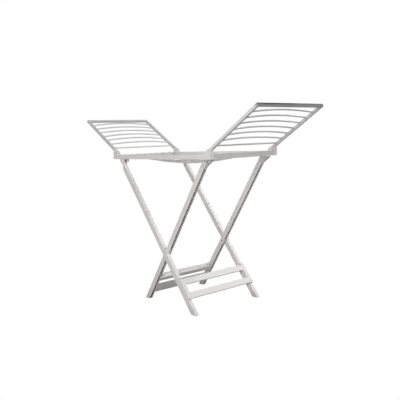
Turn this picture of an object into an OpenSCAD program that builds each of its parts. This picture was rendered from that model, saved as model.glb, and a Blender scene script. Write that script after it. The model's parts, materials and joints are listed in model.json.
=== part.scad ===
// Folding clothes drying rack: a dished barred table on crossed legs, with two hinged wings.
// Millimetres. +Z is up, +X runs along the table, the rack stands on the floor at z = 0 and
// the origin is on the floor under the middle of the table.

/* [Part to show] */
// Name of one sub-part, or all of them

/* [Table] */
// Length over the end rails
table_len = 1026; // [900:1:1150]
// Width over the side rails
table_wid = 550; // [450:1:650]
// Height of the rails' top face above the floor
rail_top = 968; // [850:1:1050]
// Height of a rail
rail_h = 28; // [20:1:40]
// Thickness of a rail
rail_t = 24; // [18:1:32]
// Wall of the hollow rails
rail_wall = 4; // [3:0.5:6]
// Length of a corner block along the side rail
corner_len = 66; // [55:1:90]
// Thickness of the stop wall at the table's end
stop_t = 12; // [8:1:16]
// Width of the stop wall, from the outside inwards
stop_w = 22; // [15:1:24]

/* [Hanging bars] */
// Diameter of a hanging bar
bar_d = 9.5; // [8:0.5:14]
// Number of bars along the table
bar_count = 8; // [6:1:10]
// Depth of the dish in the middle of the table
dish = 61; // [20:1:80]
// Height of the bars' centre line in the end rails
bar_z = 967; // [960:0.5:970]
// How far the bars reach into the end rails
bar_seat = 12; // [8:1:16]
// Slack round a bar end in its seat
seat_slack = 0.15; // [0.1:0.05:0.3]

/* [Wings] */
// Angle of an open wing above the horizontal
wing_angle = 31.2; // [10:0.1:45]
// Length of a wing from hinge to tip
wing_len = 470.5; // [400:0.5:500]
// Distance of the hinge from the middle of the table
hinge_x = 473; // [430:1:500]
// Height of the hinge above the floor
hinge_z = 977.5; // [950:0.5:990]
// Width of a wing rail across the wing
wing_rail_w = 15.5; // [13:0.5:24]
// Depth of a wing rail
wing_rail_d = 17; // [12:0.5:24]
// Gap between the table's outside and the wing's outside
wing_inset = 9; // [3:0.5:12]
// Radius of the round hinge end of a wing rail
lug_r = 12; // [9:0.5:16]
// Radius of a wing hinge pin
hinge_pin_r = 4; // [3:0.5:6]
// Upward bow of a wing bar in its middle
wing_bow = 17; // [0:1:25]

/* [Legs] */
// Width of an outer leg seen from the front
leg_w = 37; // [30:0.5:50]
// Thickness of an outer leg
leg_t = 24; // [18:1:32]
// Width of an inner leg seen from the front
inner_leg_w = 34.5; // [28:0.5:45]
// Thickness of an inner leg
inner_leg_t = 24.5; // [20:0.5:34]
// Lean of the outer legs from the vertical
outer_lean = 38.35; // [30:0.05:45]
// Foot of the outer legs, centre line at the floor
outer_foot = 310; // [250:1:350]
// Lean of the inner legs from the vertical
inner_lean = 34.8; // [30:0.05:45]
// Foot of the inner legs, centre line at the floor
inner_foot = -214; // [-250:1:-150]
// Table pivot, distance from the middle
pivot_x = -362; // [-420:1:-300]
// Table pivot, height above the floor
pivot_z = 930; // [880:1:935]
// Radius of the table pivot pin
pivot_pin_r = 5; // [4:0.5:7]
// Radius of the head of the table pivot pin
pivot_head_r = 9; // [7:0.5:10]
// Radius of the leg's end round the table pivot
pivot_lug_r = 10; // [8:0.5:14]
// Radius of the pin where the legs cross
cross_pin_r = 6; // [4:0.5:9]
// Radius of the spacer disc where the legs cross
spacer_r = 28; // [18:1:36]
// Running clearance round every turning pin
running = 0.05; // [0.02:0.01:0.1]

/* [Stretchers] */
// Distance from the floor along the leg to the ladder's lower edge
ladder_lo = 98; // [60:1:140]
// Distance from the floor along the leg to the ladder's upper edge
ladder_hi = 235; // [200:1:280]
// Height of a ladder board
ladder_board = 40; // [30:1:55]
// Thickness of the ladder boards
ladder_t = 12; // [8:1:18]
// Width of the ladder's side strips
ladder_strip = 27; // [20:1:40]

/* [Hidden] */
$fn = 48;
tw = table_wid / 2;
tl = table_len / 2;
inner_y = tw - rail_t;
rail_lo = rail_top - rail_h;
bar_r = bar_d / 2;
bar_end = tl - bar_seat;
pitch = 2 * inner_y / (bar_count + 1);
wing_out = tw - wing_inset;
wing_in = wing_out - wing_rail_w;
// Distances of the wing bars from the hinge
wing_bars = [399.5, 345.5, 291.5, 236.5, 182.5, 127.5, 75.5];
// Bow of each wing bar
wing_bows = [wing_bow, wing_bow, wing_bow, wing_bow, wing_bow, wing_bow - 3, 0];
// Inner legs lie between these distances from the middle
leg_in_hi = 247.5;
leg_in_lo = leg_in_hi - inner_leg_t;
// Where the centre lines of the legs cross
cross_z = (outer_foot - inner_foot) / (tan(outer_lean) + tan(inner_lean));
cross_x = outer_foot - cross_z * tan(outer_lean);
cross_s_out = cross_z / cos(outer_lean);
cross_s_in = cross_z / cos(inner_lean);

// Point beside the outer leg's centre line: p towards its upper side, s up the leg
function out_pt(p, s) =
    [outer_foot - s * sin(outer_lean) + p * cos(outer_lean), s * cos(outer_lean) + p * sin(outer_lean)];

// Point beside the inner leg's centre line: p towards its lower side, s up the leg
function in_pt(p, s) =
    [inner_foot + s * sin(inner_lean) + p * cos(inner_lean), s * cos(inner_lean) - p * sin(inner_lean)];

// Table pivot in the outer leg's own directions
pivot_p = (pivot_x - outer_foot) * cos(outer_lean) + pivot_z * sin(outer_lean);
pivot_s = pivot_z * cos(outer_lean) - (pivot_x - outer_foot) * sin(outer_lean);

// Distance up the leg where a line beside the centre line meets the floor
function out_floor(p) = -p * tan(outer_lean);
function in_floor(p) = p * tan(inner_lean);

// Sag of the table bar at distance y from the middle
function sag(y) = dish * (1 - pow(y / inner_y, 2));

// Upright plate: its outline is drawn in x and z, and it fills y0 to y1
module plate(y0, y1) {
    translate([0, y1, 0])
        rotate([90, 0, 0])
            linear_extrude(height = y1 - y0)
                children();
}

// Straight rod along Y from y0 to y1
module y_rod(x, z, r, y0, y1) {
    translate([x, y1, z])
        rotate([90, 0, 0])
            cylinder(r = r, h = y1 - y0);
}

// Copy at the back as well as at the front
module both_sides() {
    children();
    mirror([0, 1, 0])
        children();
}

// Rod bent to an arc in the XZ plane: ends at x = -c and c at height 0, middle hangs down by s
module arc_rod(c, s, r) {
    rad = (c * c + s * s) / (2 * s);
    half = asin(c / rad);
    translate([0, 0, rad - s])
        rotate([90, 0, 0])
            rotate([0, 0, -90 - half])
                rotate_extrude(angle = 2 * half, $fn = 360)
                    translate([rad, 0])
                        circle(r = r, $fn = 32);
}

// Cutter for one end of such a rod, at x = c, along the rod's own direction
module arc_seat(c, s, r, reach) {
    rad = (c * c + s * s) / (2 * s);
    half = asin(c / rad);
    translate([c, 0, 0])
        rotate([0, -90 - half, 0])
            translate([0, 0, -0.4])
                cylinder(r = r, h = reach + 0.4);
}

// ---------- table ----------

module table_bar(i) {
    y = -inner_y + i * pitch;
    translate([0, y, bar_z])
        arc_rod(bar_end, sag(y), bar_r);
}

module end_rail() {
    difference() {
        translate([tl - rail_t, -inner_y, rail_lo])
            cube([rail_t, 2 * inner_y, rail_h]);
        translate([tl - rail_t + rail_wall + 1, -inner_y + 8, rail_lo - 1])
            cube([rail_t - 2 * rail_wall - 2, 2 * inner_y - 16, 15]);
        for (i = [1 : bar_count])
            translate([0, -inner_y + i * pitch, bar_z])
                arc_seat(bar_end, sag(-inner_y + i * pitch), bar_r + seat_slack, 30);
    }
}

// Rail at the front; its inner wall hangs down as an ear round the table pivot
module side_rail() {
    len = table_len - 2 * corner_len;
    difference() {
        union() {
            translate([-len / 2, -tw, rail_lo])
                cube([len, rail_t, rail_h]);
            plate(-inner_y - rail_wall - 0.5, -inner_y)
                union() {
                    translate([pivot_x, pivot_z])
                        circle(r = pivot_lug_r + 0.5);
                    translate([pivot_x - pivot_lug_r - 0.5, pivot_z])
                        square([2 * pivot_lug_r + 1, rail_lo + 6 - pivot_z]);
                }
        }
        translate([-len / 2 + 6, -tw + 3, rail_lo - 1])
            cube([len - 12, rail_t - 3 - rail_wall - 0.5, rail_h - 7]);
        y_rod(pivot_x, pivot_z, pivot_pin_r + 0.02, -inner_y - 6, -inner_y + 1);
    }
}

// Corner at the front right: stop wall for the open wing and two cheeks for the hinge pin,
// whose hole is open either on the outside or on the inside
module corner_block(open_out) {
    x0 = tl - corner_len;
    pocket = lug_r + 1.5;
    rise = tan(wing_angle);
    drop = wing_rail_d / 2 / cos(wing_angle) + 0.3;
    difference() {
        union() {
            translate([x0, -tw, rail_lo])
                cube([corner_len, rail_t, rail_h]);
            plate(-tw, -tw + stop_w)
                polygon([
                    [tl - stop_t, rail_top - 4],
                    [tl, rail_top - 4],
                    [tl, hinge_z + (tl - hinge_x) * rise - drop],
                    [tl - stop_t, hinge_z + (tl - stop_t - hinge_x) * rise - drop]
                ]);
            plate(-tw, -wing_out - 0.4)
                polygon([
                    [hinge_x - lug_r, rail_top - 4],
                    [hinge_x - lug_r, hinge_z + 2],
                    [hinge_x - lug_r + 6, hinge_z + 8],
                    [tl - stop_t - 4, hinge_z + 8 + (tl - stop_t - 4 - hinge_x) * rise],
                    [tl - stop_t, hinge_z + (tl - stop_t - hinge_x) * rise - drop],
                    [tl, hinge_z + (tl - hinge_x) * rise - drop],
                    [tl, rail_top - 4]
                ]);
            plate(-inner_y - 0.1, -inner_y + 3.1)
                polygon([
                    [hinge_x - lug_r, rail_lo + 6],
                    [hinge_x - lug_r, hinge_z + 2],
                    [hinge_x - lug_r + 6, hinge_z + 8],
                    [tl - stop_t - 4, hinge_z + 8 + (tl - stop_t - 4 - hinge_x) * rise],
                    [tl - stop_t, hinge_z + (tl - stop_t - hinge_x) * rise - drop],
                    [tl - stop_t, rail_top + 0.3],
                    [hinge_x + lug_r, rail_top + 0.3],
                    [hinge_x + lug_r, rail_lo + 6]
                ]);
        }
        translate([hinge_x - pocket, -wing_out - 0.4, hinge_z - lug_r - 1])
            cube([2 * pocket, wing_rail_w - 2.1 + 0.8 - 0.5, 40]);
        translate([x0 + 6, -tw + 3, rail_lo - 1])
            cube([corner_len - 12, rail_t - 3 - rail_wall - 0.5, 19]);
        if (open_out)
            y_rod(hinge_x, hinge_z, hinge_pin_r + 0.02, -tw - 1, -inner_y + 1.6);
        else
            y_rod(hinge_x, hinge_z, hinge_pin_r + 0.02, -tw + 2, -inner_y + 4);
    }
}

module table_pivot_pin() {
    union() {
        y_rod(pivot_x, pivot_z, pivot_pin_r, -tw + 2.5, -inner_y - 0.2);
        difference() {
            y_rod(pivot_x, pivot_z, pivot_head_r, -tw + 0.9, -tw + 3.1);
            y_rod(pivot_x, pivot_z, pivot_head_r - 2.5, -tw, -tw + 1.9);
        }
    }
}

// Pin let in from the outside, or from the inside
module wing_hinge_pin(open_out) {
    if (open_out)
        y_rod(hinge_x, hinge_z, hinge_pin_r, -tw + 2.5, -inner_y + 1.4);
    else
        y_rod(hinge_x, hinge_z, hinge_pin_r, -tw + 2.2, -inner_y + 2.6);
}

// ---------- wings ----------

// Right wing's own frame: origin on the hinge, X towards the tip, Z to the upper face
module right_place() {
    translate([hinge_x, 0, hinge_z])
        rotate([0, -wing_angle, 0])
            children();
}

module left_place() {
    mirror([1, 0, 0])
        right_place()
            children();
}

// Bar across the wing, bowed towards the upper face
module wing_bar(i) {
    x = wing_bars[i - 1];
    bow = wing_bows[i - 1];
    reach = wing_in + 5;
    if (bow > 0)
        translate([x, 0, 0])
            rotate([0, 0, 90])
                mirror([0, 0, 1])
                    arc_rod(reach, bow, bar_r);
    else
        y_rod(x, 0, bar_r, -reach, reach);
}

// Rail at the front of a wing, hollow underneath, with a round hinge end
module wing_rail() {
    reach = wing_in + 5;
    difference() {
        union() {
            plate(-wing_out, -wing_in - 2.5)
                union() {
                    circle(r = lug_r);
                    translate([0, -wing_rail_d / 2])
                        square([45, wing_rail_d]);
                }
            translate([40, -wing_out, -wing_rail_d / 2])
                cube([wing_len - wing_rail_w - 40, wing_rail_w, wing_rail_d]);
        }
        translate([46, -wing_out + 3, -wing_rail_d / 2 - 1])
            cube([wing_len - wing_rail_w - 56, wing_rail_w - 9.5, 12]);
        y_rod(0, 0, hinge_pin_r + running, -tw, -wing_in);
        for (i = [1 : 6])
            translate([wing_bars[i - 1], 0, 0])
                rotate([0, 0, -90])
                    mirror([0, 0, 1])
                        arc_seat(reach, wing_bows[i - 1], bar_r + seat_slack, 12);
        y_rod(wing_bars[6], 0, bar_r + seat_slack, -reach - 0.4, -wing_in + 1);
    }
}

// Rail at the tip, hollow on its outer side
module wing_tip() {
    difference() {
        translate([wing_len - wing_rail_w, -wing_out, -wing_rail_d / 2])
            cube([wing_rail_w, 2 * wing_out, wing_rail_d]);
        translate([wing_len - wing_rail_w + 3.5, -wing_out + 3, -wing_rail_d / 2 + 2])
            cube([wing_rail_w, 2 * wing_out - 6, wing_rail_d - 4]);
    }
}

module wing_clips() {
    for (y = [-11, 14.5])
        translate([wing_len - 13, y - 4, wing_rail_d / 2])
            union() {
                cube([10, 8, 4]);
                cube([4, 8, 8]);
            }
}

// ---------- outer legs and ladder ----------

module outer_leg() {
    h = leg_w / 2;
    lo = cross_s_out - 34;
    hi = cross_s_out + 34;
    top = 938.5;
    difference() {
        union() {
            plate(-tw, -tw + leg_t)
                polygon([
                    out_pt(-h, out_floor(-h)),
                    [-390, 859],
                    [-398, 880],
                    [-397, 900],
                    [-420, 917],
                    [-434, top],
                    [outer_foot + h / cos(outer_lean) - top * tan(outer_lean), top],
                    out_pt(h, out_floor(h))
                ]);
            plate(-tw + 3.4, -tw + leg_t - 5)
                union() {
                    polygon([
                        [-420, 917],
                        [-434, top],
                        [pivot_x, top],
                        [pivot_x, pivot_z],
                        [pivot_x - 4, pivot_z - 9.1],
                        out_pt(pivot_p - 19, pivot_s - 6),
                        out_pt(h - 1, pivot_s - 14),
                        out_pt(0, pivot_s - 24)
                    ]);
                    translate([pivot_x, pivot_z])
                        circle(r = pivot_lug_r);
                }
        }
        plate(-tw + 4, -tw + leg_t - 4)
            polygon([
                out_pt(-h - 1, 40),
                out_pt(-h - 1, lo),
                out_pt(h - 5, lo),
                out_pt(h - 5, 40)
            ]);
        plate(-tw + 4, -tw + leg_t - 4)
            polygon([
                out_pt(-h - 1, hi),
                out_pt(-h - 1, 1050),
                out_pt(h - 5, 1050),
                out_pt(h - 5, hi)
            ]);
        y_rod(cross_x, cross_z, cross_pin_r + 0.02, -tw + 6, -tw + leg_t + 1);
        y_rod(pivot_x, pivot_z, pivot_pin_r + running, -tw, -inner_y + 1);
    }
}

module cross_pin() {
    y_rod(cross_x, cross_z, cross_pin_r, -tw + 6.5, -leg_in_lo - 6);
}

module cross_spacer() {
    difference() {
        y_rod(cross_x, cross_z, spacer_r, -tw + leg_t, -leg_in_hi - 0.3);
        y_rod(cross_x, cross_z, cross_pin_r + 0.02, -tw + leg_t - 1, -leg_in_hi + 1);
    }
}

module ladder_cross_board(s0, s1) {
    h = leg_w / 2;
    plate(-tw + ladder_strip, tw - ladder_strip)
        polygon([out_pt(h, s0), out_pt(h, s1), out_pt(h + ladder_t, s1), out_pt(h + ladder_t, s0)]);
}

module ladder_side() {
    h = leg_w / 2;
    plate(-tw, -tw + ladder_strip)
        polygon([
            out_pt(h, ladder_lo),
            out_pt(h, ladder_hi),
            out_pt(h + ladder_t, ladder_hi),
            out_pt(h + ladder_t, ladder_lo)
        ]);
}

module ladder_catch() {
    h = leg_w / 2;
    plate(-tw + 2, -tw + 20)
        polygon([
            out_pt(h, ladder_hi + 3),
            out_pt(h, ladder_hi + 13),
            out_pt(h + 4, ladder_hi + 13),
            out_pt(h + 9, ladder_hi + 8),
            out_pt(h + 9, ladder_hi + 3)
        ]);
}

module leg_peg() {
    h = leg_w / 2;
    p = out_pt(h, 748);
    translate([p[0], -tw + leg_t / 2, p[1]])
        rotate([0, 90 - outer_lean, 0])
            union() {
                cylinder(r = 5, h = 6);
                cylinder(r = 3.5, h = 9);
            }
}

// ---------- inner legs and boards ----------

module inner_leg() {
    h = inner_leg_w / 2;
    top = 936;
    union() {
        difference() {
            plate(-leg_in_hi, -leg_in_lo)
                polygon([
                    in_pt(-h, in_floor(-h)),
                    [inner_foot - h / cos(inner_lean) + top * tan(inner_lean), top],
                    [inner_foot + h / cos(inner_lean) + top * tan(inner_lean), top],
                    in_pt(h, in_floor(h))
                ]);
            plate(-leg_in_hi + 3, -leg_in_lo - 3)
                polygon([
                    in_pt(-h + 4, 10),
                    in_pt(-h + 4, cross_s_in - 24),
                    in_pt(h + 1, cross_s_in - 24),
                    in_pt(h + 1, 10)
                ]);
            plate(-leg_in_hi + 3, -leg_in_lo - 3)
                polygon([
                    in_pt(-h + 4, cross_s_in + 24),
                    [inner_foot - (h - 4) / cos(inner_lean) + (top - 5) * tan(inner_lean), top - 5],
                    [inner_foot + (h + 1) / cos(inner_lean) + (top - 5) * tan(inner_lean), top - 5],
                    in_pt(h + 1, cross_s_in + 24)
                ]);
            plate(-leg_in_hi - 1, -leg_in_hi + 4)
                polygon([[380, 927], [380, top + 1], [500, top + 1], [500, 927]]);
            y_rod(cross_x, cross_z, cross_pin_r + running, -leg_in_hi - 1, -leg_in_lo + 1);
        }
        plate(-leg_in_lo - 4, -leg_in_lo)
            polygon([[420, top], [484, top], [484, 932], [431, 898], [404, 876], [396, 880]]);
        plate(-leg_in_hi, -leg_in_lo)
            polygon([[484, top], [484, 931], [431, 897], [408, 879], [404, 883], [429, 901.5], [480, 934], [480, top]]);
    }
}

// Board square to the legs, with a web curving up into each leg
module inner_upper() {
    h = inner_leg_w / 2;
    union() {
        plate(-leg_in_lo, leg_in_lo)
            polygon([in_pt(h, 172), in_pt(h, 202), in_pt(-h, 207), in_pt(-h, 177)]);
        both_sides()
            translate([inner_foot, 0, 0])
                rotate([0, inner_lean, 0])
                    translate([9, -leg_in_lo, 200])
                        rotate([0, -90, 0])
                            linear_extrude(height = 5)
                                difference() {
                                    square([44, 50]);
                                    translate([48, 54])
                                        circle(r = 48);
                                }
    }
}

module inner_lower() {
    h = inner_leg_w / 2;
    plate(-leg_in_lo, leg_in_lo)
        polygon([in_pt(h - 6, 68), in_pt(h - 6, 145), in_pt(h, 145), in_pt(h, 68)]);
}

// ---------- sub-parts in place ----------

module side_rail_front() { color("#dcdad7") side_rail(); }
module side_rail_back() { color("#dcdad7") mirror([0, 1, 0]) side_rail(); }
module end_rail_right() { color("#d6d4d1") end_rail(); }
module end_rail_left() { color("#d6d4d1") mirror([1, 0, 0]) end_rail(); }
module corner_front_right() { color("#d9d7d4") corner_block(false); }
module corner_front_left() { color("#d9d7d4") mirror([1, 0, 0]) corner_block(true); }
module corner_back_right() { color("#d9d7d4") mirror([0, 1, 0]) corner_block(true); }
module corner_back_left() { color("#d9d7d4") mirror([1, 0, 0]) mirror([0, 1, 0]) corner_block(false); }
module table_bar_1() { color("#e2e1df") table_bar(1); }
module table_bar_2() { color("#e2e1df") table_bar(2); }
module table_bar_3() { color("#e2e1df") table_bar(3); }
module table_bar_4() { color("#e2e1df") table_bar(4); }
module table_bar_5() { color("#e2e1df") table_bar(5); }
module table_bar_6() { color("#e2e1df") table_bar(6); }
module table_bar_7() { color("#e2e1df") table_bar(7); }
module table_bar_8() { color("#e2e1df") table_bar(8); }
module table_pivot_pins() { color("#6c6a66") both_sides() table_pivot_pin(); }
module wing_hinge_pins() {
    color("#8a8782")
        for (turn = [0, 180])
            rotate([0, 0, turn])
                union() {
                    wing_hinge_pin(false);
                    mirror([1, 0, 0])
                        wing_hinge_pin(true);
                }
}

module left_wing_rail_front() { color("#d4d1ce") left_place() wing_rail(); }
module left_wing_rail_back() { color("#d4d1ce") left_place() mirror([0, 1, 0]) wing_rail(); }
module left_wing_tip() { color("#d4d1ce") left_place() wing_tip(); }
module left_wing_bar_1() { color("#e2e1df") left_place() wing_bar(1); }
module left_wing_bar_2() { color("#e2e1df") left_place() wing_bar(2); }
module left_wing_bar_3() { color("#e2e1df") left_place() wing_bar(3); }
module left_wing_bar_4() { color("#e2e1df") left_place() wing_bar(4); }
module left_wing_bar_5() { color("#e2e1df") left_place() wing_bar(5); }
module left_wing_bar_6() { color("#e2e1df") left_place() wing_bar(6); }
module left_wing_bar_7() { color("#e2e1df") left_place() wing_bar(7); }
module right_wing_rail_front() { color("#d4d1ce") right_place() wing_rail(); }
module right_wing_rail_back() { color("#d4d1ce") right_place() mirror([0, 1, 0]) wing_rail(); }
module right_wing_tip() { color("#d4d1ce") right_place() wing_tip(); }
module right_wing_clips() { color("#d4d1ce") right_place() wing_clips(); }
module right_wing_bar_1() { color("#e2e1df") right_place() wing_bar(1); }
module right_wing_bar_2() { color("#e2e1df") right_place() wing_bar(2); }
module right_wing_bar_3() { color("#e2e1df") right_place() wing_bar(3); }
module right_wing_bar_4() { color("#e2e1df") right_place() wing_bar(4); }
module right_wing_bar_5() { color("#e2e1df") right_place() wing_bar(5); }
module right_wing_bar_6() { color("#e2e1df") right_place() wing_bar(6); }
module right_wing_bar_7() { color("#e2e1df") right_place() wing_bar(7); }

module outer_leg_front() { color("#d8d5d3") outer_leg(); }
module outer_leg_back() { color("#d8d5d3") mirror([0, 1, 0]) outer_leg(); }
module cross_pins() { color("#8a8782") both_sides() cross_pin(); }
module cross_spacers() { color("#c9cbcc") both_sides() cross_spacer(); }
module ladder_upper() { color("#e3e0de") ladder_cross_board(ladder_hi - ladder_board, ladder_hi); }
module ladder_lower() { color("#e3e0de") ladder_cross_board(ladder_lo, ladder_lo + ladder_board); }
module ladder_strip_front() { color("#e3e0de") ladder_side(); }
module ladder_strip_back() { color("#e3e0de") mirror([0, 1, 0]) ladder_side(); }
module ladder_catches() { color("#d8d5d3") both_sides() ladder_catch(); }
module leg_pegs() { color("#d8d5d3") both_sides() leg_peg(); }
module inner_leg_front() { color("#d0cdcb") inner_leg(); }
module inner_leg_back() { color("#d0cdcb") mirror([0, 1, 0]) inner_leg(); }
module inner_board_upper() { color("#dedbd9") inner_upper(); }
module inner_board_lower() { color("#dedbd9") inner_lower(); }

side_rail_front();
side_rail_back();
end_rail_left();
end_rail_right();
corner_front_left();
corner_front_right();
corner_back_left();
corner_back_right();
table_bar_1();
table_bar_2();
table_bar_3();
table_bar_4();
table_bar_5();
table_bar_6();
table_bar_7();
table_bar_8();
table_pivot_pins();
wing_hinge_pins();
left_wing_rail_front();
left_wing_rail_back();
left_wing_tip();
left_wing_bar_1();
left_wing_bar_2();
left_wing_bar_3();
left_wing_bar_4();
left_wing_bar_5();
left_wing_bar_6();
left_wing_bar_7();
right_wing_rail_front();
right_wing_rail_back();
right_wing_tip();
right_wing_clips();
right_wing_bar_1();
right_wing_bar_2();
right_wing_bar_3();
right_wing_bar_4();
right_wing_bar_5();
right_wing_bar_6();
right_wing_bar_7();
outer_leg_front();
outer_leg_back();
cross_pins();
cross_spacers();
ladder_upper();
ladder_lower();
ladder_strip_front();
ladder_strip_back();
ladder_catches();
leg_pegs();
inner_leg_front();
inner_leg_back();
inner_board_upper();
inner_board_lower();
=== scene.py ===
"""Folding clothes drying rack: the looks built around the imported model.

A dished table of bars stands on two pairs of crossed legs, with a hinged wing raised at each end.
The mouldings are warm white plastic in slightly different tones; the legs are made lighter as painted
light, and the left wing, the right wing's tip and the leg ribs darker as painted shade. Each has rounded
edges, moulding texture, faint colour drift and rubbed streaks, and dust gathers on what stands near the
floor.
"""

import json
import math

import bmesh
import bpy
from mathutils import Matrix, Vector

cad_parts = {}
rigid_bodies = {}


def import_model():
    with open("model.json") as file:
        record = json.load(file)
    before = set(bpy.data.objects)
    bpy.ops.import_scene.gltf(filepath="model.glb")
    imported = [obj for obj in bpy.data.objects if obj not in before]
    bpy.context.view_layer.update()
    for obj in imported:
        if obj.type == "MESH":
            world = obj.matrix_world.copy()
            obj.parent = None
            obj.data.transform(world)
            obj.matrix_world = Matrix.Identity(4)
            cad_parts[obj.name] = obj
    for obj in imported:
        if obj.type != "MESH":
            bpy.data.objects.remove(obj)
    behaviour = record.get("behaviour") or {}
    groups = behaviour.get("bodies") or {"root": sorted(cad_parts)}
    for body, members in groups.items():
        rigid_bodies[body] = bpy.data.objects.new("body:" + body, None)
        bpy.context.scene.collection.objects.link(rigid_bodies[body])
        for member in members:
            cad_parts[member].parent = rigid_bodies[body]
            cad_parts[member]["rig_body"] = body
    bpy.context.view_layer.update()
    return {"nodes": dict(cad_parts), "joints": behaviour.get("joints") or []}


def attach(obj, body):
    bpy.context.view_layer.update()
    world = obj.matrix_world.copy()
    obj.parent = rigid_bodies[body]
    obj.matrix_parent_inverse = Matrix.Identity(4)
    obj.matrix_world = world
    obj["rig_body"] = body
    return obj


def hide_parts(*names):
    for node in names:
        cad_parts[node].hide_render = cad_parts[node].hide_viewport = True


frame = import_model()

MM = 0.001


# ---------- camera ----------

YAW, PITCH, ROLL = 0.8753, -0.1087, -0.0372
CAMERA_PLACE = Vector((2.8292, -2.2938, 1.0518))
SENSOR_WIDTH, FOCAL_LENGTH = 36, 49.59
FAR_CLIP = 100

forward = Vector((-math.sin(YAW) * math.cos(PITCH), math.cos(YAW) * math.cos(PITCH), math.sin(PITCH)))
right = Vector((math.cos(YAW), math.sin(YAW), 0))
up = right.cross(forward)
rolled_right = math.cos(ROLL) * right + math.sin(ROLL) * up
rolled_up = -math.sin(ROLL) * right + math.cos(ROLL) * up
turn = Matrix((rolled_right, rolled_up, -forward)).transposed()

cam = bpy.data.objects.new("camera", bpy.data.cameras.new("camera"))
bpy.context.scene.collection.objects.link(cam)
cam.data.sensor_width = SENSOR_WIDTH
cam.data.lens = FOCAL_LENGTH
cam.data.clip_end = FAR_CLIP
cam.matrix_world = Matrix.Translation(CAMERA_PLACE) @ turn.to_4x4()
bpy.context.scene.camera = cam
bpy.context.scene.view_settings.view_transform = "Standard"


# ---------- material nodes ----------


def link(tree, a, b):
    """Join an output socket to an input socket."""
    tree.links.new(a, b)


def noise(tree, vec, scale, detail=3.0, rough=0.5):
    """Noise value at a point."""
    n = tree.nodes.new("ShaderNodeTexNoise")
    n.inputs["Scale"].default_value = scale
    n.inputs["Detail"].default_value = detail
    n.inputs["Roughness"].default_value = rough
    link(tree, vec, n.inputs["Vector"])
    return n.outputs["Fac"]


def remap(tree, value, a, b, c, d):
    """Value moved from the range a to b into the range c to d, held at its ends."""
    m = tree.nodes.new("ShaderNodeMapRange")
    for name, v in zip(("From Min", "From Max", "To Min", "To Max"), (a, b, c, d)):
        m.inputs[name].default_value = v
    link(tree, value, m.inputs["Value"])
    return m.outputs["Result"]


def stretched(tree, vec, scale):
    """Coordinates scaled differently along each axis."""
    m = tree.nodes.new("ShaderNodeMapping")
    m.inputs["Scale"].default_value = scale
    link(tree, vec, m.inputs["Vector"])
    return m.outputs["Vector"]


def mixed(tree, fac, a, b):
    """Colour between a and b, each a tuple or a socket."""
    m = tree.nodes.new("ShaderNodeMix")
    m.data_type = "RGBA"
    for socket, v in ((m.inputs["A"], a), (m.inputs["B"], b)):
        if isinstance(v, tuple):
            socket.default_value = (*v, 1)
        else:
            link(tree, v, socket)
    link(tree, fac, m.inputs["Factor"])
    return m.outputs["Result"]


def multiply(tree, a, b):
    """Product of two sockets."""
    m = tree.nodes.new("ShaderNodeMath")
    m.operation = "MULTIPLY"
    link(tree, a, m.inputs[0])
    link(tree, b, m.inputs[1])
    return m.outputs["Value"]


def bumped(tree, height, strength, distance, under=None):
    """Normal raised by a height, on top of another normal where one is given."""
    b = tree.nodes.new("ShaderNodeBump")
    b.inputs["Strength"].default_value = strength
    b.inputs["Distance"].default_value = distance
    link(tree, height, b.inputs["Height"])
    if under is not None:
        link(tree, under, b.inputs["Normal"])
    return b.outputs["Normal"]


# ---------- plastic ----------

PLASTIC_IOR, PLASTIC_SPECULAR = 1.49, 0.42

# noise scales, in features per metre
DRIFT_SCALE = 7.0
SPECK_SCALE = 420
DUST_SCALE = 55
WEAR_SCALE = 38
GRAIN_SCALE = 1100
STREAK_STRETCH = (30, 30, 260)
WAVE_STRETCH = (9, 9, 4)

# how strongly each mark mixes in, and its brightness as a share of the darker shade
STREAK_MIX, STREAK_SHADE = 0.14, 0.86
SPECK_MIX, SPECK_SHADE = 0.06, 0.72
DUST_COLOUR, DUST_HEIGHT = (0.50, 0.47, 0.43), 0.075

# bump strength and depth in metres
GRAIN_STRENGTH, GRAIN_DEPTH = 0.025, 0.0004
WAVE_STRENGTH, WAVE_DEPTH = 0.25, 0.0016


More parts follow.
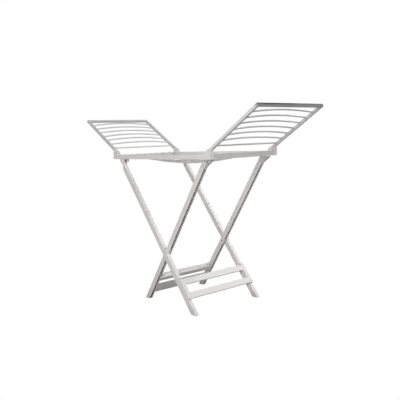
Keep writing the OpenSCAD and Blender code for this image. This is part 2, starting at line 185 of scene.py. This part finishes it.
def plastic(name, base, shade, rough=0.42, feet=True):
    """Moulded plastic: slow colour drift, fine spark-eroded grain, rubbed streaks, and dust at the feet."""
    mat = bpy.data.materials.new(name)
    mat.use_nodes = True
    tree = mat.node_tree
    shader = tree.nodes["Principled BSDF"]
    shader.inputs["IOR"].default_value = PLASTIC_IOR
    shader.inputs["Specular IOR Level"].default_value = PLASTIC_SPECULAR
    coords = tree.nodes.new("ShaderNodeTexCoord").outputs["Object"]

    drift = remap(tree, noise(tree, coords, DRIFT_SCALE, 2.0), 0.3, 0.7, 0.0, 1.0)
    colour = mixed(tree, drift, base, shade)
    streaks = noise(tree, stretched(tree, coords, STREAK_STRETCH), 1.0, 4.0, 0.65)
    rubbed = remap(tree, streaks, 0.62, 0.78, 0.0, STREAK_MIX)
    colour = mixed(tree, rubbed, colour, tuple(STREAK_SHADE * c for c in shade))
    specks = remap(tree, noise(tree, coords, SPECK_SCALE, 2.0), 0.72, 0.80, 0.0, SPECK_MIX)
    colour = mixed(tree, specks, colour, tuple(SPECK_SHADE * c for c in shade))
    if feet:
        height = tree.nodes.new("ShaderNodeSeparateXYZ")
        link(tree, coords, height.inputs["Vector"])
        low = remap(tree, height.outputs["Z"], 0.0, DUST_HEIGHT, 1.0, 0.0)
        patches = remap(tree, noise(tree, coords, DUST_SCALE, 5.0, 0.6), 0.35, 0.7, 0.1, 0.8)
        colour = mixed(tree, multiply(tree, low, patches), colour, DUST_COLOUR)
    link(tree, colour, shader.inputs["Base Color"])

    worn = remap(tree, noise(tree, coords, WEAR_SCALE, 4.0, 0.6), 0.3, 0.7, rough - 0.07, rough + 0.12)
    link(tree, worn, shader.inputs["Roughness"])

    fine = bumped(tree, noise(tree, coords, GRAIN_SCALE, 2.0, 0.6), GRAIN_STRENGTH, GRAIN_DEPTH)
    waves = noise(tree, stretched(tree, coords, WAVE_STRETCH), 1.0, 1.0)
    link(tree, bumped(tree, waves, WAVE_STRENGTH, WAVE_DEPTH, fine), shader.inputs["Normal"])
    return mat


FRAME_MAT = plastic("frame_plastic", (0.78, 0.76, 0.75), (0.74, 0.72, 0.71))
RAIL_MAT = plastic("rail_plastic", (0.875, 0.845, 0.835), (0.84, 0.815, 0.805))
# painted light: the legs' plastic is made lighter, standing in for the light on their upper sides
LEG_LIGHT_MAT = plastic("leg_painted_light_plastic", (0.86, 0.83, 0.825), (0.82, 0.795, 0.79))
LADDER_MAT = plastic("ladder_plastic", (0.84, 0.815, 0.80), (0.81, 0.785, 0.775), rough=0.46)
WING_MAT = plastic("wing_plastic", (0.82, 0.795, 0.785), (0.78, 0.76, 0.75), feet=False)
# painted shade: the left wing is the wing plastic made darker, standing in for the light falling off to the
# left
LEFT_WING_SHADE_MAT = plastic("left_wing_painted_shade_plastic", (0.71, 0.69, 0.68), (0.67, 0.65, 0.64), feet=False)
BAR_MAT = plastic("bar_plastic", (0.74, 0.735, 0.735), (0.70, 0.695, 0.70), rough=0.34, feet=False)
TABLE_BAR_MAT = plastic("table_bar_plastic", (0.90, 0.88, 0.875), (0.86, 0.845, 0.84), rough=0.34, feet=False)
# painted shade: the right wing's tip is made dark grey, standing in for the shade on its hollow end and
# underside
TIP_SHADE_MAT = plastic("tip_painted_shade_plastic", (0.52, 0.52, 0.525), (0.48, 0.48, 0.485), feet=False)
PIN_MAT = plastic("pin_plastic", (0.115, 0.11, 0.10), (0.09, 0.085, 0.08), rough=0.38, feet=False)
# painted shade: the ribs are the legs' plastic made darker, standing in for the shade inside the leg channels
RIB_SHADE_MAT = plastic("rib_painted_shade_plastic", (0.60, 0.585, 0.57), (0.55, 0.535, 0.52), rough=0.5)


# ---------- meshes ----------

MERGE_DISTANCE = 2e-5
FLAT_ANGLE = math.radians(0.4)
MIN_MITRE = 0.35


def add_object(name, bm, mat, body):
    """Object made from a bmesh, riding on a CAD body."""
    mesh = bpy.data.meshes.new(name)
    bmesh.ops.recalc_face_normals(bm, faces=bm.faces)
    bm.to_mesh(mesh)
    bm.free()
    o = bpy.data.objects.new(name, mesh)
    bpy.context.scene.collection.objects.link(o)
    mesh.materials.append(mat)
    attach(o, body)
    return o


def body_of(node):
    """Name of the CAD body that a node belongs to."""
    return frame["nodes"][node]["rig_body"]


def moulded(node, mat, edge=1.3, segments=3, angle=35):
    """Piece in place of a CAD node: its outline with every edge rounded, as a mould leaves it.

    Known fault: dissolve_limit joins a flat face that has a hole into one polygon, whose triangles
    then lie over the hole. It affects both wing tips and the front outer leg.
    """
    bm = bmesh.new()
    bm.from_mesh(frame["nodes"][node].data)
    bmesh.ops.remove_doubles(bm, verts=bm.verts, dist=MERGE_DISTANCE)
    bmesh.ops.dissolve_limit(bm, angle_limit=FLAT_ANGLE, verts=bm.verts, edges=bm.edges)
    o = add_object(node + "_piece", bm, mat, body_of(node))
    bevel = o.modifiers.new("edges", "BEVEL")
    bevel.width = edge * MM
    bevel.segments = segments
    bevel.limit_method = "ANGLE"
    bevel.angle_limit = math.radians(angle)
    bevel.use_clamp_overlap = True
    bevel.harden_normals = True
    o.data.shade_smooth()
    o.data.set_sharp_from_angle(angle=math.radians(angle))
    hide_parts(node)


def zigzag(bm, place, s0, s1, y0, y1, p0, p1, step, thick):
    """One folded wall that runs from side to side along a channel, mitred at each turn."""
    count = max(2, round((s1 - s0) / step))
    line = [Vector((s0 + (s1 - s0) * k / count, y1 if k % 2 else y0)) for k in range(count + 1)]
    left, other = [], []
    for k, q in enumerate(line):
        a = (q - line[k - 1]).normalized() if k else (line[1] - q).normalized()
        b = (line[k + 1] - q).normalized() if k < count else a
        across = Vector((-(a + b).y, (a + b).x)).normalized()
        reach = thick / 2 / max(MIN_MITRE, across.dot(Vector((-a.y, a.x))))
        left.append(q + across * reach)
        other.append(q - across * reach)
    rings = []
    for p in (p0, p1):
        rings.append([[bm.verts.new(place(p, q.x, q.y)) for q in row] for row in (left, other)])
    (l0, r0), (l1, r1) = rings
    for k in range(count):
        n = k + 1
        bm.faces.new((l0[k], l0[n], r0[n], r0[k]))
        bm.faces.new((l1[k], r1[k], r1[n], l1[n]))
        bm.faces.new((l0[k], l1[k], l1[n], l0[n]))
        bm.faces.new((r0[k], r0[n], r1[n], r1[k]))
    for k in (0, count):
        bm.faces.new((l0[k], r0[k], r1[k], l1[k]))


# ---------- the legs' measures, in millimetres ----------

LEG_W, LEG_T, OUT_Y = 37.0, 24.0, 275.0
IN_W, IN_HI, IN_LO = 34.5, 247.5, 223.0
joints = {j["name"]: j for j in frame["joints"]}
CROSS = [v / MM for v in joints["leg_cross"]["pos_m"]]
OUT_LEAN = math.radians(90 - joints["table_pivot"]["range_deg"][1])
IN_LEAN = math.radians(joints["leg_cross"]["range_deg"][1]) - OUT_LEAN
OUT_FOOT = CROSS[0] + CROSS[2] * math.tan(OUT_LEAN)
IN_FOOT = CROSS[0] - CROSS[2] * math.tan(IN_LEAN)
CROSS_OUT = CROSS[2] / math.cos(OUT_LEAN)
CROSS_IN = CROSS[2] / math.cos(IN_LEAN)


def on_outer(p, s, y):
    """Point beside an outer leg's centre line: p towards its upper side, s up the leg."""
    return Vector((
        OUT_FOOT - s * math.sin(OUT_LEAN) + p * math.cos(OUT_LEAN),
        y,
        s * math.cos(OUT_LEAN) + p * math.sin(OUT_LEAN),
    )) * MM


def on_inner(p, s, y):
    """Point beside an inner leg's centre line: p towards its lower side, s up the leg."""
    return Vector((
        IN_FOOT + s * math.sin(IN_LEAN) + p * math.cos(IN_LEAN),
        y,
        s * math.cos(IN_LEAN) - p * math.sin(IN_LEAN),
    )) * MM


# ---------- mouldings ----------


def material_of(name):
    """Material of a moulding that isn't a bar or a pin."""
    if "ladder" in name or "board" in name:
        return LADDER_MAT
    # painted light: the legs take the lighter copy of the plastic
    if "leg" in name and "pegs" not in name:
        return LEG_LIGHT_MAT
    # painted shade: the right wing's tip and the left wing take darker copies of the plastic
    if name == "right_wing_tip":
        return TIP_SHADE_MAT
    if "wing" in name:
        return LEFT_WING_SHADE_MAT if name.startswith("left") else WING_MAT
    if "side_rail" in name or "corner" in name:
        return RAIL_MAT
    return FRAME_MAT


for name in frame["nodes"]:
    if "bar_" in name:
        bar = TABLE_BAR_MAT if name.startswith("table") else BAR_MAT
        moulded(name, bar, edge=0.8, segments=2, angle=50)
    elif "pins" in name:
        moulded(name, PIN_MAT, edge=0.5, segments=2, angle=50)
    else:
        moulded(name, material_of(name))


# ---------- ribs inside the legs ----------

RIB_THICKNESS = 2.0

# the ribs' two edges along p, and the y of the two walls that they run between
OUT_RIB_DEPTH = (-LEG_W / 2 + 9.0, LEG_W / 2 - 4.7)
OUT_RIB_WALLS = (OUT_Y - 5.2, OUT_Y - LEG_T + 5.2)
IN_RIB_DEPTH = (-IN_W / 2 + 3.7, IN_W / 2 - 12.0)
IN_RIB_WALLS = (IN_HI - 4.2, IN_LO + 4.2)

# stretches up the leg, which stay clear of the crossing pin, and the length of one fold
OUT_RIB_SPANS = ((46, CROSS_OUT - 36), (CROSS_OUT + 36, 1004))
IN_RIB_SPANS = ((20, CROSS_IN - 26), (CROSS_IN + 26, 1118))
OUT_RIB_STEP, IN_RIB_STEP = 30, 28


def leg_ribs(name, body, sign, place, depth, walls, spans, step):
    """Folded walls inside one leg, as one piece; sign is the side of the rack along Y."""
    bm = bmesh.new()
    y0, y1 = sorted(sign * y for y in walls)
    for s0, s1 in spans:
        zigzag(bm, place, s0, s1, y0, y1, *depth, step, RIB_THICKNESS)
    # the ribs take the darker plastic, painted shade for the inside of the channel
    add_object(name, bm, RIB_SHADE_MAT, body)


for side, sign in (("front", -1), ("back", 1)):
    leg_ribs(
        f"outer_leg_{side}_ribs", "outer_frame", sign, on_outer,
        OUT_RIB_DEPTH, OUT_RIB_WALLS, OUT_RIB_SPANS, OUT_RIB_STEP,
    )
    leg_ribs(
        f"inner_leg_{side}_ribs", "inner_frame", sign, on_inner,
        IN_RIB_DEPTH, IN_RIB_WALLS, IN_RIB_SPANS, IN_RIB_STEP,
    )


# ---------- stage ----------

FLOOR_HALF = 40
FLOOR_GREY = (0.4, 0.4, 0.4, 1)
ROOM_COLOUR, ROOM_STRENGTH = (0.97, 0.98, 1.0, 1), 0.02


def plain_to_camera(tree, lit, plain, output):
    """Show one shader to the camera, and the other to the rays that light the object."""
    path = tree.nodes.new("ShaderNodeLightPath")
    pick = tree.nodes.new("ShaderNodeMixShader")
    link(tree, path.outputs["Is Camera Ray"], pick.inputs["Fac"])
    link(tree, lit, pick.inputs[1])
    link(tree, plain, pick.inputs[2])
    link(tree, pick.outputs["Shader"], tree.nodes[output].inputs["Surface"])


floor = bpy.data.objects.new("floor", bpy.data.meshes.new("floor"))
bpy.context.scene.collection.objects.link(floor)
corners = [(FLOOR_HALF * x, FLOOR_HALF * y, 0) for x, y in ((-1, -1), (1, -1), (1, 1), (-1, 1))]
floor.data.from_pydata(corners, [], [(0, 1, 2, 3)])

white = bpy.data.materials.new("floor_white")
white.use_nodes = True
base = white.node_tree.nodes["Principled BSDF"]
base.inputs["Base Color"].default_value = FLOOR_GREY
base.inputs["Roughness"].default_value = 0.9
base.inputs["Specular IOR Level"].default_value = 0.0
glow = white.node_tree.nodes.new("ShaderNodeEmission")
glow.inputs["Strength"].default_value = 1.0
plain_to_camera(white.node_tree, base.outputs["BSDF"], glow.outputs["Emission"], "Material Output")
floor.data.materials.append(white)

world = bpy.data.worlds.new("studio")
bpy.context.scene.world = world
world.use_nodes = True
soft = world.node_tree.nodes["Background"]
soft.inputs["Color"].default_value = ROOM_COLOUR
soft.inputs["Strength"].default_value = ROOM_STRENGTH
plain = world.node_tree.nodes.new("ShaderNodeBackground")
plain.inputs["Color"].default_value = (1, 1, 1, 1)
plain.inputs["Strength"].default_value = 1.0
plain_to_camera(world.node_tree, soft.outputs["Background"], plain.outputs["Background"], "World Output")


# ---------- light ----------


def lamp(name, place, aim, size, watts):
    """Soft round lamp at a place, turned towards a point."""
    light = bpy.data.lights.new(name, "AREA")
    light.shape = "DISK"
    light.size = size
    light.energy = watts
    o = bpy.data.objects.new(name, light)
    bpy.context.scene.collection.objects.link(o)
    o.location = place
    o.rotation_mode = "QUATERNION"
    o.rotation_quaternion = (Vector(aim) - Vector(place)).to_track_quat("-Z", "Y")


lamp("front_right", (2.4, -4.0, 1.8), (0.1, 0, 0.75), 2.0, 92)
lamp("front", (-0.6, -4.2, 1.6), (0, 0, 0.7), 2.4, 20)
lamp("left", (-4.0, -1.0, 2.5), (0, 0, 0.7), 2.0, 26)
lamp("back", (0.4, 4.0, 3.0), (0, 0, 0.7), 2.0, 145)
lamp("back_right", (3.2, 3.0, 2.2), (0, 0, 0.7), 1.6, 42)
lamp("high", (2.5, -1.8, 4.0), (0, 0, 0.6), 1.4, 42)
lamp("key", (3.1, 0.8, 4.3), (0.2, 0, 0.5), 1.3, 8)
